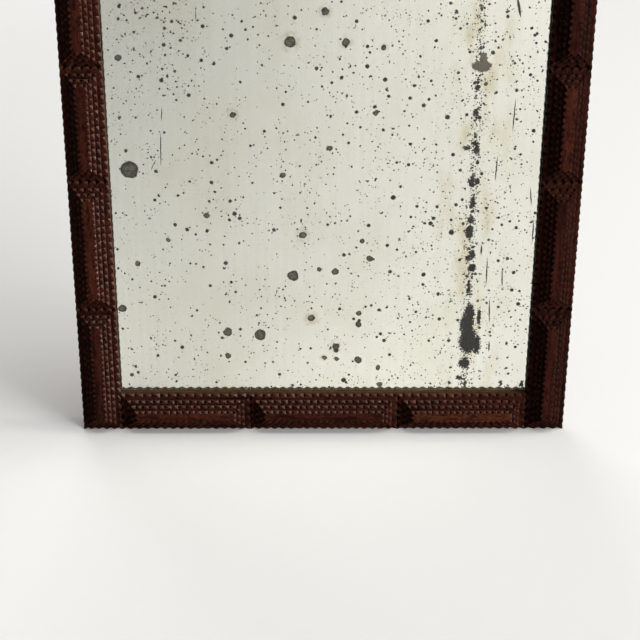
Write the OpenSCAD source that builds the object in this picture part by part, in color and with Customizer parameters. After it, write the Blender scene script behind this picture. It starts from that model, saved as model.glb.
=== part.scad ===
// Wall mirror in a tramp art frame. Thin boards with V-notched edges are stacked into hipped blocks
// on notched base strips, and the strips are glued to a plain lapped softwood frame that carries the
// mirror plate, its glue blocks, the back boards and two ring hangers.
// X runs to the right, Y into the wall and Z up. The origin lies on the wall plane, midway between
// the pivots of the two hanging rings.

/* [Blocks along the frame] */
// Length of base under the block at each end of a stile
stile_end_cell = 125.5; // [110:0.5:150]
// Length of base under the next block in from each end of a stile
stile_second_cell = 124; // [100:1:150]
// Length of base under each of the two blocks at the middle of a stile
stile_middle_cell = 104; // [100:1:150]
// Length of base under the block at each end of a rail
rail_end_cell = 122.3; // [100:0.1:150]
// Length of base under the block at the middle of a rail
rail_middle_cell = 140; // [100:1:170]

/* [Layers of thin wood] */
// Width of the base strips
strip_w = 36.7; // [35:0.1:44]
// Thickness of the base strips
base_t = 6.8; // [5.5:0.1:8]
// Thickness of each layer above the base strip
layer_t = 3.8; // [3:0.1:5]
// Width of base strip left bare along each side of a block
base_ledge = 5.05; // [4:0.05:7]
// Length of base strip left bare at the outer ends of the stiles and rails
end_ledge = 6.4; // [4:0.1:8]
// Width of each layer left bare all round the one above
layer_step = 3.75; // [3:0.05:5]
// Gully of bare base strip between the ends of neighbouring blocks
block_gully = 11; // [7:0.1:13]
// Seam between butted base strips
butt_seam = 0.3; // [0.1:0.05:0.8]
// Glue line under each layer
glue_t = 0.05; // [0.03:0.01:0.1]

/* [Notches] */
// Spacing of the notches along the base strips
base_pitch = 7.8; // [6:0.1:10]
// Spacing of the notches on the first layer of a block
first_pitch = 6.9; // [6:0.1:9]
// Spacing of the notches on the second layer of a block
second_pitch = 6.5; // [5:0.1:8]
// Spacing of the notches on the top layer of a block
top_pitch = 5.6; // [5:0.1:8]
// Depth of the notches into the face of a base strip
base_notch = 2.9; // [1.5:0.1:3.4]
// Depth of the notches into the face of a layer, where their mouth is wide enough
layer_notch = 2.9; // [1.2:0.1:3.2]
// Width left between the mouths of neighbouring notches
notch_land = 0.5; // [0.4:0.1:1.5]
// Height above the back of a base strip at which its notches run out
base_foot = 3.6; // [2:0.1:4.2]
// Height above the back of a layer at which its notches run out
layer_foot = 0.5; // [0.4:0.1:1.2]

/* [Lapped frame] */
// Thickness of the stiles and rails
post_t = 13.2; // [13:0.1:20]
// Setback of the stiles and rails from the outer edge of the base strips
edge_inset = 4; // [3:0.5:6]
// Width of base strip that overlaps the edge of the mirror opening
lip = 6; // [4:0.5:8]
// Length of the nails in the corner laps
corner_nail_l = 12.5; // [11:0.5:14]
// Distance of the corner nails from the middle of the lap, along both sides
corner_nail_offset = 7; // [5:0.5:8]

/* [Brads] */
// Radius of the shank of the brads under the blocks
brad_r = 0.6; // [0.5:0.05:0.8]
// Depth that the brads reach into a stile or rail
brad_bite = 6.5; // [5:0.5:8]
// Distance of the brads from the ends of a block's base
brad_inset = 42; // [40:1:48]
// Radius of the shank of the nails in the laps and the back boards
nail_r = 0.8; // [0.6:0.05:1]
// Ratio of a nail head's radius to its shank's
head_ratio = 2.2; // [1.8:0.1:2.6]
// Thickness of a nail head
nail_head_t = 0.6; // [0.4:0.1:0.9]
// Clearance round a nail, brad or screw in its hole
nail_clear = 0.05; // [0.02:0.01:0.1]

/* [Mirror and back] */
// Thickness of the mirror plate
glass_t = 3; // [2:0.1:4.5]
// Clearance round the edges of the mirror plate
glass_clear = 0.8; // [0.5:0.1:1.5]
// Leg of the three-cornered glue blocks behind the mirror
glue_leg = 8; // [6:0.5:8.5]
// Length of the glue blocks
glue_l = 42; // [25:1:60]
// Thickness of the back boards
board_t = 6; // [5.8:0.1:9]
// Width of back board that laps onto the stiles and rails
board_lap = 7; // [6.5:0.5:8]
// Gap between neighbouring back boards
board_gap = 0.8; // [0.3:0.1:2]
// Depth that the back board nails reach into a stile or rail
board_nail_bite = 8; // [6:0.5:10]
// Distance of the back board nails from a board's long edges
board_nail_inset = 30; // [20:1:45]
// Distance between the outer nails along the edge of the top and bottom boards
board_nail_spread = 240; // [160:5:300]
// Depth that the back board nails are set below the surface
nail_set = 0.3; // [0.1:0.1:0.6]

/* [Ring hangers] */
// Distance of the ring pivots below the top of the frame
hang_drop = 195.5; // [180:0.5:260]
// Radius of the ring wire
wire_r = 1.2; // [1:0.05:1.3]
// Radius of the ring to the middle of its wire
ring_r = 7.8; // [7:0.1:8]
// Gap between a ring and the ends of the back boards
ring_gap = 0.9; // [0.5:0.1:1.2]
// Width of the loop that the ring hangs in
loop_w = 5.2; // [4:0.1:6]
// Wall of the loop
loop_wall = 0.75; // [0.6:0.05:0.9]
// Clearance of the ring in its loop
loop_clear = 0.1; // [0.08:0.01:0.15]
// Width of the hanger's strap
strap_w = 9; // [8:0.5:11]
// Thickness of the hanger's strap
strap_t = 1.1; // [0.8:0.1:1.2]
// Distance of the upper strap screw below the pivot
screw_drop = 22; // [21:0.5:26]
// Distance between the two strap screws
screw_spacing = 8; // [7:0.5:12]
// Radius of the strap screws' shank
screw_r = 1.4; // [1.1:0.1:1.6]
// Depth that the strap screws reach into a stile
screw_bite = 10; // [8:0.5:11]
// Radius of the strap screws' head
screw_head_r = 2.6; // [2.2:0.1:3]
// Height of the strap screws' head
screw_head_h = 1.7; // [1.2:0.1:2]

/* [Hidden] */
$fn = 48;
STILE_CELLS = [
    stile_end_cell, stile_second_cell, stile_middle_cell,
    stile_middle_cell, stile_second_cell, stile_end_cell
];
RAIL_CELLS = [rail_end_cell, rail_middle_cell, rail_end_cell];
LAYER_PITCHES = [first_pitch, second_pitch, top_pitch];
SIDES = [["left", -1], ["right", 1]];
LEVELS = [["bottom", -1], ["top", 1]];

function total(list, count) = count == 0 ? 0 : list[count - 1] + total(list, count - 1);

sight_w = total(RAIL_CELLS, len(RAIL_CELLS));
frame_w = sight_w + 2 * strip_w;
frame_h = total(STILE_CELLS, len(STILE_CELLS));
sight_h = frame_h - 2 * strip_w;
block_w = strip_w - 2 * base_ledge;
frame_top = hang_drop;
frame_bottom = hang_drop - frame_h;
middle_z = (frame_top + frame_bottom) / 2;

// Planes from the wall forward: back of the posts, front of the posts
post_back = -board_t;
post_front = post_back - post_t;
post_w = strip_w - edge_inset - lip;
lap_t = post_t / 2;
post_x = frame_w / 2 - edge_inset - post_w / 2;
rail_z = frame_h / 2 - edge_inset - post_w / 2;
opening_w = sight_w + 2 * lip;
opening_h = sight_h + 2 * lip;
strip_x = frame_w / 2 - strip_w / 2;
strip_z = frame_h / 2 - strip_w / 2;

// Spare length that cutters run past the wood
past = 1;

board_w = opening_w + 2 * board_lap;
board_h = (opening_h + 2 * board_lap - 2 * board_gap) / 3;
board_nail_edge = board_lap / 2;
BOARDS = [["lower", -1], ["middle", 0], ["upper", 1]];

// The ring's wire bends away from its pivot axis within the loop, half of that each way
loop_bend = (ring_r - sqrt(pow(ring_r, 2) - pow(loop_w / 2, 2))) / 2;
loop_bore_r = wire_r + loop_bend + loop_clear;
loop_r = loop_bore_r + loop_wall;
strap_seat = 0.3;
pivot_y = post_back + max(loop_r + strap_seat, strap_t + wire_r + strap_seat);
ring_drop = ring_r - loop_bend;
hanger_x = board_w / 2 + ring_gap + ring_r + wire_r;

// Places shared by nails and the holes that hold them, as [x, z]
function cell_middle(cells, i) = total(cells, i) + cells[i] / 2 - total(cells, len(cells)) / 2;
function brad_offsets(cell) = [brad_inset - cell / 2, cell / 2 - brad_inset];
function stile_brads(side) = [
    for (i = [0:len(STILE_CELLS) - 1], along = brad_offsets(STILE_CELLS[i]))
        [side * strip_x, middle_z + cell_middle(STILE_CELLS, i) + along]
];
function rail_brads(level) = [
    for (i = [0:len(RAIL_CELLS) - 1], along = brad_offsets(RAIL_CELLS[i]))
        [cell_middle(RAIL_CELLS, i) + along, middle_z + level * strip_z]
];
function corner_spots(side, level) = [
    for (way = [-1, 1])
        [side * (post_x + way * corner_nail_offset), middle_z + level * (rail_z - way * corner_nail_offset)]
];
function board_z(place) = middle_z + place * (board_h + board_gap);
function board_end_spots(side, place) = [
    for (edge = [-1, 1])
        [side * (board_w / 2 - board_nail_edge), board_z(place) + edge * (board_h / 2 - board_nail_inset)]
];
function board_rail_spots(level) = [
    for (across = [-1, 0, 1])
        [across * board_nail_spread / 2, board_z(level) + level * (board_h / 2 - board_nail_edge)]
];
function screw_spots(side) = [
    for (i = [0, 1]) [side * hanger_x, -screw_drop - i * screw_spacing]
];

// Turns a shape that lies on the XY plane, facing up, to lie on the plane at y and face the room
module facing_room(x, y, z) {
    translate([x, y, z]) rotate([90, 0, 0]) children();
}

// Turns the same kind of shape to face the wall
module facing_wall(x, y, z) {
    translate([x, y, z]) rotate([-90, 0, 0]) children();
}

module on_stile(side, i) {
    facing_room(side * strip_x, post_front, middle_z + cell_middle(STILE_CELLS, i))
        rotate([0, 0, 90]) children();
}

module on_rail(level, i) {
    facing_room(cell_middle(RAIL_CELLS, i), post_front, middle_z + level * strip_z) children();
}

// A nail pointing down, with the top of its head at the origin
module nail(l, r) {
    translate([0, 0, -l]) cylinder(h = l, r = r);
    translate([0, 0, -nail_head_t]) cylinder(h = nail_head_t, r = r * head_ratio);
}

// The hole for that nail, open at the top by the given rise
module nail_hole(l, r, rise) {
    translate([0, 0, -l - nail_clear]) cylinder(h = l + nail_clear + rise, r = r + nail_clear);
    translate([0, 0, -nail_head_t - nail_clear])
        cylinder(h = nail_head_t + nail_clear + rise, r = r * head_ratio + nail_clear);
}

// Row of V cuts along the edge at y = reach of a board of thickness t. Each cut is deepest in the
// face of the board and runs out in its side at the height foot above the back. No cut is sharper
// than a right angle, so that the cuts beside a corner stay apart.
module edge_notches(run, reach, t, pitch, depth, foot) {
    count = max(1, round(run / pitch));
    step = run / count;
    mouth = (step - notch_land) / 2;
    cut = min(depth, mouth);
    slant = atan(cut / (t - foot));
    sunk = cut * cos(slant);
    proud = sunk * notch_land / (4 * mouth);
    flare = mouth * (1 + proud / sunk);
    translate([0, reach, t])
        rotate([slant, 0, 0])
            linear_extrude(4 * t, center = true)
                for (i = [0:count - 1])
                    translate([(i + 0.5) * step - run / 2, 0])
                        polygon([[-flare, proud], [0, -sunk], [flare, proud]]);
}

// Thin board centred on the origin with its length along X and its back on the XY plane, notched
// all round
module notched_board(l, w, t, pitch, depth, foot) {
    difference() {
        translate([-l / 2, -w / 2, 0]) cube([l, w, t]);
        for (turn = [0, 180]) {
            rotate([0, 0, turn]) edge_notches(l, w / 2, t, pitch, depth, foot);
            rotate([0, 0, 90 + turn]) edge_notches(w, l / 2, t, pitch, depth, foot);
        }
    }
}

// Base strip of one cell, butted against its neighbours except at the outer ends of a stile
module strip(cell, outer_ends) {
    trim = [for (outer = outer_ends) outer ? 0 : butt_seam / 2];
    l = cell - trim[0] - trim[1];
    color([0.27, 0.12, 0.08])
        difference() {
            translate([(trim[0] - trim[1]) / 2, 0, 0])
                notched_board(l, strip_w, base_t, base_pitch, base_notch, base_foot);
            for (along = brad_offsets(cell))
                translate([along, 0, -past]) cylinder(h = base_t + 2 * past, r = brad_r + nail_clear);
        }
}

// Hipped block of one cell: three notched layers, each smaller than the one below
module block(cell, outer_ends) {
    trim = [for (outer = outer_ends) outer ? end_ledge : block_gully / 2];
    color([0.3, 0.12, 0.08])
        for (k = [0:2]) {
            l = cell - trim[0] - trim[1] - 2 * k * layer_step;
            w = block_w - 2 * k * layer_step;
            difference() {
                translate([(trim[0] - trim[1]) / 2, 0, base_t + glue_t + k * (layer_t + glue_t)])
                    notched_board(l, w, layer_t, LAYER_PITCHES[k], layer_notch, layer_foot);
                if (k == 0)
                    for (along = brad_offsets(cell))
                        translate([along, 0, base_t + glue_t + layer_t])
                            nail_hole(layer_t + past, brad_r, glue_t / 2);
            }
        }
}

function outer_ends(i, count) = [i == 0, i == count - 1];

module stile_strip(side, i) {
    on_stile(side, i) strip(STILE_CELLS[i], outer_ends(i, len(STILE_CELLS)));
}

module stile_block(side, i) {
    on_stile(side, i) block(STILE_CELLS[i], outer_ends(i, len(STILE_CELLS)));
}

module rail_strip(level, i) {
    on_rail(level, i) strip(RAIL_CELLS[i], [false, false]);
}

module rail_block(level, i) {
    on_rail(level, i) block(RAIL_CELLS[i], outer_ends(i, len(RAIL_CELLS)));
}

brad_l = layer_t + glue_t + base_t + brad_bite;
brad_head_y = post_front - base_t - glue_t - layer_t;
board_nail_l = board_t - nail_set + board_nail_bite;

module block_brads() {
    spots = concat(
        [for (side = SIDES) each stile_brads(side[1])],
        [for (level = LEVELS) each rail_brads(level[1])]
    );
    color([0.35, 0.34, 0.33])
        for (spot = spots)
            facing_room(spot[0], brad_head_y, spot[1]) nail(brad_l, brad_r);
}

module brad_pilots(spots) {
    for (spot = spots)
        facing_room(spot[0], brad_head_y, spot[1]) nail_hole(brad_l, brad_r, 0);
}

module corner_pilots(side, level) {
    for (spot = corner_spots(side, level))
        facing_wall(spot[0], post_back, spot[1]) nail_hole(corner_nail_l, nail_r, past);
}

module board_pilots(spots) {
    for (spot = spots)
        facing_wall(spot[0], -nail_set, spot[1]) nail_hole(board_nail_l, nail_r, nail_set + past);
}

// Upright post of the lapped frame. Its ends keep their rear half and take the rails in front.
module stile(side) {
    l = frame_h - 2 * edge_inset;
    color([0.62, 0.47, 0.3])
        difference() {
            translate([side * post_x - post_w / 2, post_front, middle_z - l / 2])
                cube([post_w, post_t, l]);
            for (level = LEVELS) {
                translate([side * post_x, post_front - past, middle_z + level[1] * rail_z])
                    translate([-post_w / 2 - past, 0, -post_w / 2 - (level[1] < 0 ? past : 0)])
                        cube([post_w + 2 * past, lap_t + past, post_w + past]);
                corner_pilots(side, level[1]);
            }
            brad_pilots(stile_brads(side));
            for (board = BOARDS)
                board_pilots(board_end_spots(side, board[1]));
            for (spot = screw_spots(side))
                facing_wall(spot[0], post_back + strap_t, spot[1])
                    translate([0, 0, -strap_t - screw_bite - nail_clear])
                        cylinder(h = screw_bite + strap_t + past, r = screw_r + nail_clear);
        }
}

// Cross member of the lapped frame. Its ends keep their front half.
module rail(level) {
    l = frame_w - 2 * edge_inset;
    color([0.62, 0.47, 0.3])
        difference() {
            translate([-l / 2, post_front, middle_z + level * rail_z - post_w / 2])
                cube([l, post_t, post_w]);
            for (side = SIDES) {
                translate([side[1] * post_x, post_front + lap_t, middle_z + level * rail_z])
                    translate([-post_w / 2 - (side[1] < 0 ? past : 0), 0, -post_w / 2 - past])
                        cube([post_w + past, lap_t + past, post_w + 2 * past]);
                corner_pilots(side[1], level);
            }
            brad_pilots(rail_brads(level));
            board_pilots(board_rail_spots(level));
        }
}

module corner_nails() {
    color([0.35, 0.34, 0.33])
        for (side = SIDES, level = LEVELS, spot = corner_spots(side[1], level[1]))
            facing_wall(spot[0], post_back, spot[1]) nail(corner_nail_l, nail_r);
}

module mirror_plate() {
    w = opening_w - 2 * glass_clear;
    h = opening_h - 2 * glass_clear;
    color([0.86, 0.86, 0.82])
        translate([-w / 2, post_front, middle_z - h / 2]) cube([w, glass_t, h]);
}

// Three-cornered stick in the angle between the mirror's back and the side of the opening. Local X
// runs along it, local Y into the opening and local Z towards the wall.
module glue_block() {
    rotate([90, 0, 90])
        linear_extrude(glue_l, center = true)
            polygon([[0, 0], [glue_leg, 0], [0, glue_leg]]);
}

module glue_blocks() {
    glass_back = post_front + glass_t;
    stile_spread = opening_h / 2 - stile_end_cell;
    rail_spread = opening_w / 2 - rail_end_cell;
    color([0.72, 0.58, 0.4]) {
        for (side = SIDES, up = [-1, 0, 1])
            translate([side[1] * opening_w / 2, glass_back, middle_z + up * stile_spread])
                rotate([-90, side[1] * 90, 0]) glue_block();
        for (level = LEVELS, along = [-1, 1])
            translate([along * rail_spread, glass_back, middle_z + level[1] * opening_h / 2])
                rotate([-90, level[1] > 0 ? 0 : 180, 0]) glue_block();
    }
}

module back_board(place) {
    color([0.55, 0.42, 0.28])
        difference() {
            translate([-board_w / 2, post_back, board_z(place) - board_h / 2])
                cube([board_w, board_t, board_h]);
            for (side = SIDES)
                board_pilots(board_end_spots(side[1], place));
            if (place != 0)
                board_pilots(board_rail_spots(place));
        }
}

module back_board_nails() {
    color([0.35, 0.34, 0.33]) {
        for (side = SIDES, board = BOARDS, spot = board_end_spots(side[1], board[1]))
            facing_wall(spot[0], -nail_set, spot[1]) nail(board_nail_l, nail_r);
        for (level = LEVELS, spot = board_rail_spots(level[1]))
            facing_wall(spot[0], -nail_set, spot[1]) nail(board_nail_l, nail_r);
    }
}

// Brass strap with a round foot and a loop at its head for the ring
module hanger_strap(side) {
    spots = screw_spots(side);
    foot = spots[1];
    color([0.62, 0.5, 0.26])
        difference() {
            union() {
                translate([side * hanger_x - strap_w / 2, post_back, foot[1]])
                    cube([strap_w, strap_t, -foot[1]]);
                facing_wall(foot[0], post_back, foot[1]) cylinder(h = strap_t, d = strap_w);
                translate([side * hanger_x - loop_w / 2, post_back, -loop_r])
                    cube([loop_w, pivot_y - post_back, loop_r]);
                translate([side * hanger_x - loop_w / 2, pivot_y, 0])
                    rotate([0, 90, 0]) cylinder(h = loop_w, r = loop_r);
            }
            translate([side * hanger_x - loop_w / 2 - past, pivot_y, 0])
                rotate([0, 90, 0]) cylinder(h = loop_w + 2 * past, r = loop_bore_r);
            for (spot = spots)
                facing_wall(spot[0], post_back - past, spot[1])
                    cylinder(h = strap_t + 2 * past, r = screw_r + 2 * nail_clear);
        }
}

// Ring that hangs from the loop and turns about the loop's axis
module hanger_ring(side) {
    color([0.66, 0.54, 0.28])
        facing_wall(side * hanger_x, pivot_y, -ring_drop)
            rotate_extrude() translate([ring_r, 0]) circle(r = wire_r);
}

// Round-headed slotted screw, with the seat of its head at the origin
module strap_screw() {
    slot_w = screw_head_r / 4;
    slot_d = screw_head_h / 2;
    translate([0, 0, -strap_t - screw_bite]) cylinder(h = strap_t + screw_bite, r = screw_r);
    difference() {
        rotate_extrude()
            intersection() {
                translate([0, screw_head_h - screw_head_r * 1.2]) circle(r = screw_head_r * 1.2);
                square([screw_head_r, screw_head_h]);
            }
        translate([-screw_head_r - past, -slot_w / 2, screw_head_h - slot_d])
            cube([2 * (screw_head_r + past), slot_w, slot_d + past]);
    }
}

module hanger_screws() {
    color([0.6, 0.48, 0.25])
        for (side = SIDES, spot = screw_spots(side[1]))
            facing_wall(spot[0], post_back + strap_t, spot[1]) strap_screw();
}

for (side = SIDES)
    stile(side[1]);
for (level = LEVELS)
    rail(level[1]);
corner_nails();
for (side = SIDES, i = [0:len(STILE_CELLS) - 1])
    stile_strip(side[1], i);
for (level = LEVELS, i = [0:len(RAIL_CELLS) - 1])
    rail_strip(level[1], i);
for (side = SIDES, i = [0:len(STILE_CELLS) - 1])
    stile_block(side[1], i);
for (level = LEVELS, i = [0:len(RAIL_CELLS) - 1])
    rail_block(level[1], i);
block_brads();
mirror_plate();
glue_blocks();
for (board = BOARDS)
    back_board(board[1]);
back_board_nails();
for (side = SIDES)
    hanger_strap(side[1]);
for (side = SIDES)
    hanger_ring(side[1]);
hanger_screws();
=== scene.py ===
# %% [markdown]
# A foxed mirror in a tramp art frame, dressed over its solids.
# Tramp art is chip carving in thin scrap wood: boards get V notches along their edges and are stacked,
# each one smaller than the one below. This lesson loads the solids, carves every board again as a
# hand-cut surface, lays old silver behind real glass, and finishes the pine, brass and iron of the back.

# %% Load the solids
import math

import bpy
import numpy as np
from mathutils import Matrix, Vector


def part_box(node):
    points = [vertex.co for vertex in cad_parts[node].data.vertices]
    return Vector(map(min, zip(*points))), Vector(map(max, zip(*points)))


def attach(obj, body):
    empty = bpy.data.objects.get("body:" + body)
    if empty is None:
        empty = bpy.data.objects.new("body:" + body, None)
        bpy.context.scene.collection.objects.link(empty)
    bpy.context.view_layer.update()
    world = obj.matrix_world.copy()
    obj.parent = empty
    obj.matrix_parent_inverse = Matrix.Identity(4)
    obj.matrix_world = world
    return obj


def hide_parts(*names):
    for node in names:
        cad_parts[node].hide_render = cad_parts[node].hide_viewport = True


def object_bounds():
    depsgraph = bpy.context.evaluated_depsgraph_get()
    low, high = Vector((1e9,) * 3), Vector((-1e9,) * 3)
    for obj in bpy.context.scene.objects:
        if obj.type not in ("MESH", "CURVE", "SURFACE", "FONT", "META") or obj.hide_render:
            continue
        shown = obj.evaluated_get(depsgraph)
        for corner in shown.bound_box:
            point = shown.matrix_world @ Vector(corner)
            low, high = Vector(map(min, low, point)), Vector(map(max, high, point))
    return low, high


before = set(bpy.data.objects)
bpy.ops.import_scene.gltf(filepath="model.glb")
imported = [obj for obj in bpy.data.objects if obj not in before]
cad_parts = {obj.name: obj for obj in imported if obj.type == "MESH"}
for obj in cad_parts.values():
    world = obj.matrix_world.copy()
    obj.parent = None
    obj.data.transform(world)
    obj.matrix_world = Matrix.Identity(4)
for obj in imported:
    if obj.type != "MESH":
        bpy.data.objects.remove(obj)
cad_low, cad_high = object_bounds()
MM = 0.001
scene = bpy.context.scene
print("solids loaded:", len(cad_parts), "nodes, box", [round(v, 3) for v in cad_high - cad_low])

# %% [markdown]
# The photograph looks down on the lower half of the mirror from a tall person's eye, a little to the
# left of the middle. A camera could be aimed by eye. Here its place and angles were solved from the
# straight edges of the frame, so that the render lines up with the photograph.

# %% Camera
CAMERA_PLACE = Vector((-0.0190, -1.2856, 0.1847))
LOOK_DOWN = math.radians(24.78)
LOOK_RIGHT = math.radians(0.68)
HEAD_TILT = math.radians(0.29)
LENS_MM = 84.375
SENSOR_MM = 36.0

camera_data = bpy.data.cameras.new("camera")
camera_data.lens = LENS_MM
camera_data.sensor_width = SENSOR_MM
camera_data.clip_start = 0.01
camera = bpy.data.objects.new("camera", camera_data)
scene.collection.objects.link(camera)
camera_turn = Matrix.Rotation(-LOOK_RIGHT, 4, "Z")
camera_turn = camera_turn @ Matrix.Rotation(math.pi / 2 - LOOK_DOWN, 4, "X")
camera_turn = camera_turn @ Matrix.Rotation(HEAD_TILT, 4, "Z")
camera.matrix_world = Matrix.Translation(CAMERA_PLACE) @ camera_turn
scene.camera = camera
print("camera stands", round(-CAMERA_PLACE.y, 2), "m in front of the back boards")

# %% [markdown]
# Every finish below is a small network of nodes. Adding nodes one call at a time makes long code, so
# one helper adds a node and fills its inputs, with a link where it gets a socket. The others name the
# few steps that come again and again: arithmetic, ramps, mixes and noise.

# %% Helpers


def fill(tree, node, inputs):
    """Fills a node's inputs. inputs maps a socket's name or number to a value, or to the output of
    another node that is then linked to it."""
    for socket, value in inputs.items():
        if isinstance(value, bpy.types.NodeSocket):
            tree.links.new(value, node.inputs[socket])
        else:
            node.inputs[socket].default_value = value
    return node


def put(tree, kind, inputs=None, **settings):
    """Adds one node, sets its properties from the settings and fills its inputs."""
    node = tree.nodes.new("ShaderNode" + kind)
    for name, value in settings.items():
        setattr(node, name, value)
    return fill(tree, node, inputs or {})


def math_of(tree, operation, first, second=0.0, third=0.0, clamp=False):
    """One step of arithmetic on sockets or plain numbers."""
    inputs = {0: first, 1: second, 2: third}
    return put(tree, "Math", inputs, operation=operation, use_clamp=clamp).outputs[0]


def times(tree, first, second, clamp=False):
    """The product of two masks or numbers."""
    return math_of(tree, "MULTIPLY", first, second, clamp=clamp)


def scale_add(tree, value, factor, rest):
    """value * factor + rest"""
    return math_of(tree, "MULTIPLY_ADD", value, factor, rest)


def less(tree, first, second, clamp=False):
    """first - second"""
    return math_of(tree, "SUBTRACT", first, second, clamp=clamp)


def largest_of(tree, *masks):
    """The largest of several masks at each point, so that any one of them is enough."""
    largest = masks[0]
    for mask in masks[1:]:
        largest = math_of(tree, "MAXIMUM", largest, mask)
    return largest


def ramp_of(tree, value, low, high, to_low=0.0, to_high=1.0):
    """A smooth step: to_low below low, to_high above high."""
    inputs = {"Value": value, "From Min": low, "From Max": high, "To Min": to_low, "To Max": to_high}
    return put(tree, "MapRange", inputs, interpolation_type="SMOOTHSTEP").outputs["Result"]


def blend_of(tree, share, first, second, mode="MIX"):
    """A mix of two colours by a share from 0 to 1. A Mix node keeps its colours in sockets 6 and 7."""
    inputs = {0: share, 6: first, 7: second}
    return put(tree, "Mix", inputs, data_type="RGBA", blend_type=mode).outputs[2]


def noise_of(tree, vector, scale, detail=2.0, roughness=0.5):
    """Soft noise from 0 to 1, with its scale in waves to the metre."""
    inputs = {"Vector": vector, "Scale": scale, "Detail": detail, "Roughness": roughness}
    return put(tree, "TexNoise", inputs, noise_dimensions="3D").outputs["Fac"]


def stretch_of(tree, vector, factors):
    """The vector with each part multiplied by its own factor, which stretches a pattern."""
    return put(tree, "VectorMath", {0: vector, 1: factors}, operation="MULTIPLY").outputs["Vector"]


def streaks_of(tree, vector, waves, detail=3.0, roughness=0.5):
    """Noise that is drawn out, with its own waves to the metre along each part of the vector."""
    return noise_of(tree, stretch_of(tree, vector, waves), 1.0, detail, roughness)


def rgb(red, green, blue):
    """A colour given as it looks on a screen, 0 to 255, turned into the linear light of a shader."""
    parts = np.array([red, green, blue]) / 255
    linear = np.where(parts <= 0.04045, parts / 12.92, ((parts + 0.055) / 1.055) ** 2.4)
    return (*linear.tolist(), 1.0)


def new_finish(name):
    """A material with one Principled shader. Returns the material, its tree and the shader."""
    material = bpy.data.materials.new(name)
    material.use_nodes = True
    tree = material.node_tree
    return material, tree, tree.nodes["Principled BSDF"]


def new_group(name, gives, **takes):
    """An empty node group. gives lists its outputs, which are numbers, and each input that it takes has a
    starting number, or None for a vector. Returns the group, its inputs and its outputs."""
    group = bpy.data.node_groups.new(name, "ShaderNodeTree")
    for socket, start in takes.items():
        kind = "NodeSocketVector" if start is None else "NodeSocketFloat"
        made = group.interface.new_socket(socket, in_out="INPUT", socket_type=kind)
        if start is not None:
            made.default_value = start
    for socket in gives:
        group.interface.new_socket(socket, in_out="OUTPUT", socket_type="NodeSocketFloat")
    taken = group.nodes.new("NodeGroupInput").outputs
    given = group.nodes.new("NodeGroupOutput").inputs
    return group, taken, given


def use_group(tree, group, **inputs):
    """Places a node group in a tree and fills its inputs. Returns its outputs."""
    return put(tree, "Group", inputs, node_tree=group).outputs


def mesh_object(name, points, faces, material):
    """A new object in the scene from an array of points and a list of faces."""
    mesh = bpy.data.meshes.new(name)
    mesh.from_pydata(points.tolist(), [], faces)
    mesh.materials.append(material)
    made = bpy.data.objects.new(name, mesh)
    scene.collection.objects.link(made)
    return made


print("helpers ready")

# %% [markdown]
# The stage is a wide pale floor that the frame stands on, open behind, so that its back can be seen too.
# The mirror shows that floor, so its colour is the mirror's brightness. Lamps reach only the middle of a
# floor, so further out it glows as pale as the horizon, for rays that show it. To scattered light it is
# darker, because a pale room would light every shadow.

# %% Floor
FLOOR_HALF = 30.0
LAMPLIT_REACH = (1.5, 4.5)
HORIZON_SKY = 0.92
FLOOR_PALE = rgb(246, 245, 242)
FLOOR_BOUNCE = rgb(150, 147, 142)


def shown_rays(tree):
    """1 for rays that show a surface: from the camera, off a mirror or through glass."""
    path = put(tree, "LightPath").outputs
    straight = math_of(tree, "ADD", path["Is Camera Ray"], path["Is Glossy Ray"])
    return math_of(tree, "ADD", straight, path["Is Transmission Ray"], clamp=True)


floor_material, tree, shader = new_finish("pale_floor")
tree.nodes.remove(shader)
shown = shown_rays(tree)
place = put(tree, "TexCoord").outputs["Object"]
away = put(tree, "VectorMath", {0: place}, operation="LENGTH").outputs["Value"]
far = times(tree, ramp_of(tree, away, *LAMPLIT_REACH), shown)
colour = blend_of(tree, shown, FLOOR_BOUNCE, FLOOR_PALE)
lamplit = put(tree, "BsdfDiffuse", {"Color": colour}).outputs[0]
pale_far = put(tree, "Emission", {"Color": FLOOR_PALE, "Strength": HORIZON_SKY}).outputs[0]
surface = put(tree, "MixShader", {0: far, 1: lamplit, 2: pale_far}).outputs[0]
fill(tree, tree.nodes["Material Output"], {"Surface": surface})

corner_signs = np.array([[-1, -1, 0], [1, -1, 0], [1, 1, 0], [-1, 1, 0]])
floor_points = corner_signs * FLOOR_HALF + [0, 0, cad_low.z]
floor = mesh_object("floor", floor_points, [[0, 1, 2, 3]], floor_material)
print("floor at", round(cad_low.z, 3))

# %% [markdown]
# Soft light comes from the right, where the notches in the photograph catch theirs: one lamp low in the
# room, and a tall one like a window that rakes across the carving. A third lights the floor and a fourth
# the back. The sky is palest at the horizon, and dim to scattered light.

# %% Light
SOFT_SKY = 0.14
HIGH_SKY = 0.4
HORIZON_BAND = (0.12, 0.42)
LAMP_TARGET = Vector((0.0, -0.03, -0.25))


def soft_lamp(name, direction, distance, size, level):
    """A lamp of a given width and height that stands off the target along a direction and faces it. At
    level 1 it lights a surface that faces it to its own colour, which takes (pi * distance) ** 2 watts."""
    data = bpy.data.lights.new(name, "AREA")
    data.shape = "RECTANGLE"
    data.size, data.size_y = size
    data.energy = level * (math.pi * distance) ** 2
    lamp = bpy.data.objects.new(name, data)
    scene.collection.objects.link(lamp)
    towards = Vector(direction).normalized()
    lamp.location = LAMP_TARGET + towards * distance
    lamp.rotation_mode = "QUATERNION"
    lamp.rotation_quaternion = towards.to_track_quat("Z", "Y")
    lamp.visible_camera = False


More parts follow.
